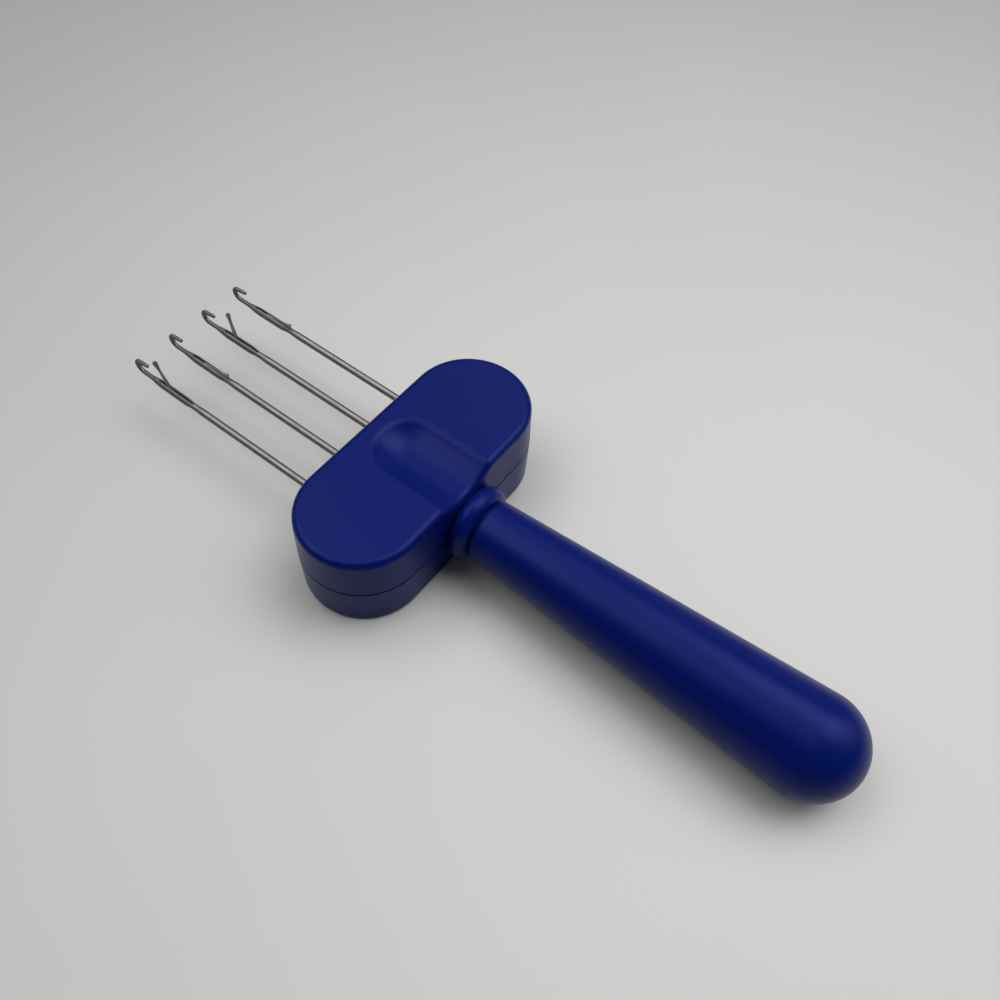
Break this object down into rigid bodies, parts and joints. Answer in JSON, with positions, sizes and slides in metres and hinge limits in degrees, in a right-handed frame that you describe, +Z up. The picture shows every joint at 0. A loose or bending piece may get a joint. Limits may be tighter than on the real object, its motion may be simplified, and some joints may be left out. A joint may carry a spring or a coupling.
{
  "type": "latch hook",
  "caption": "Multi-needle latch hook: a moulded head with a thumb scoop carries a row of steel needles with hinged latches, on a tapered round handle.",
  "frame": {"origin": "middle of the head's flat base, on the table", "axes": "+X along the needles towards the hooks, +Y to the tool's left, +Z up from the table"},
  "size_m": [0.2207, 0.0782, 0.0268],
  "materials": {
    "head_plastic": "moulded navy blue, satin with a faint grain",
    "grip_plastic": "moulded navy blue, satin sheen",
    "needle_steel": "drawn and polished wire, slightly dull",
    "latch_steel": "dark pressed steel",
    "plain_steel": "plain machined steel",
    "zinc_screws": "bright zinc plate",
    "bar_plastic": "natural nylon, matt"
  },
  "bodies": {
    "tool": {"upper_shell": "head_plastic", "lower_shell": "head_plastic", "shell_screws": "zinc_screws", "needle_bar": "bar_plastic", "clamp_plate": "plain_steel", "clamp_screws": "zinc_screws", "collar": "grip_plastic", "tang_rod": "plain_steel", "tang_washer": "zinc_screws", "tang_nut": "zinc_screws", "handle": "grip_plastic", "needle_1": "needle_steel", "needle_2": "needle_steel", "needle_3": "needle_steel", "needle_4": "needle_steel", "latch_rivet_1": "latch_steel", "latch_rivet_2": "latch_steel", "latch_rivet_3": "latch_steel", "latch_rivet_4": "latch_steel"},
    "latch_body_1": {"latch_1": "latch_steel"},
    "latch_body_2": {"latch_2": "latch_steel"},
    "latch_body_3": {"latch_3": "latch_steel"},
    "latch_body_4": {"latch_4": "latch_steel"}
  },
  "joints": [
    {"name": "latch_1_swing", "type": "hinge", "parent": "tool", "child": "latch_body_1", "pos_m": [0.0752, 0.01905, 0.0136], "axis": [0, -1, 0], "range_deg": [-35, 103]},
    {"name": "latch_2_swing", "type": "hinge", "parent": "tool", "child": "latch_body_2", "pos_m": [0.0752, 0.00635, 0.0136], "axis": [0, -1, 0], "range_deg": [-138, 0]},
    {"name": "latch_3_swing", "type": "hinge", "parent": "tool", "child": "latch_body_3", "pos_m": [0.0752, -0.00635, 0.0136], "axis": [0, -1, 0], "range_deg": [-51, 87]},
    {"name": "latch_4_swing", "type": "hinge", "parent": "tool", "child": "latch_body_4", "pos_m": [0.0752, -0.01905, 0.0136], "axis": [0, -1, 0], "range_deg": [-138, 0]}
  ]
}
